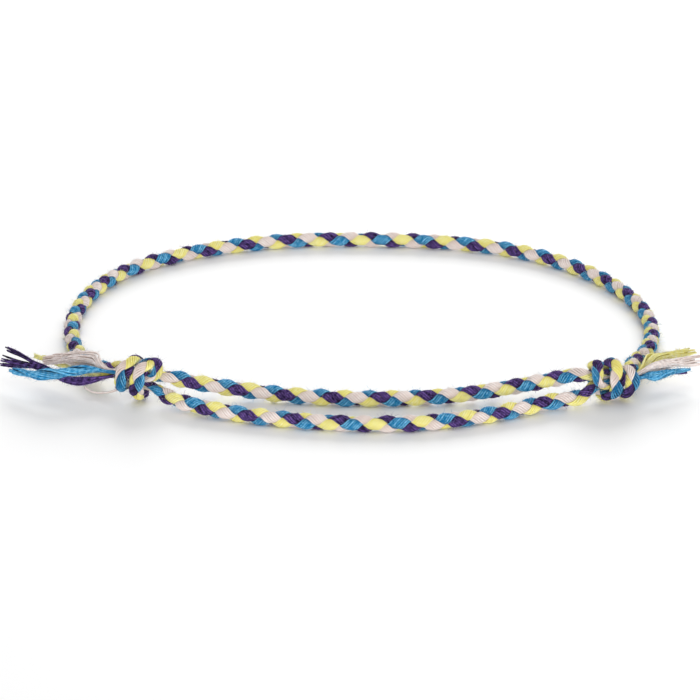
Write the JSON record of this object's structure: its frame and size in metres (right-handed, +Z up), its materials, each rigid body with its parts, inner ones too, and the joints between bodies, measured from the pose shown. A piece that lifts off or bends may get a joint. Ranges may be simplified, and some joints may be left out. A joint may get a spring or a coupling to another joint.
{
  "type": "friendship bracelet",
  "caption": "Braided cotton floss bracelet in purple, cream, turquoise and yellow, laid open as an oval loop with sliding knots and loose tails.",
  "frame": {"origin": "on the surface that the bracelet lies on, below the middle of its box", "axes": "+X along the overlap of the two ends, from the left knot to the right knot; +Y from the knots towards the far side of the loop; +Z up"},
  "size_m": [0.0886, 0.0678, 0.0056],
  "materials": {
    "floss_purple": "matte cotton floss with a slight sheen",
    "floss_cream": "matte cotton floss with a slight sheen",
    "floss_turquoise": "matte cotton floss with a slight sheen",
    "floss_yellow": "matte cotton floss with a slight sheen"
  },
  "bodies": {
    "root": {"strand_purple": "floss_purple", "strand_cream": "floss_cream", "strand_turquoise": "floss_turquoise", "strand_yellow": "floss_yellow"}
  },
  "joints": []
}
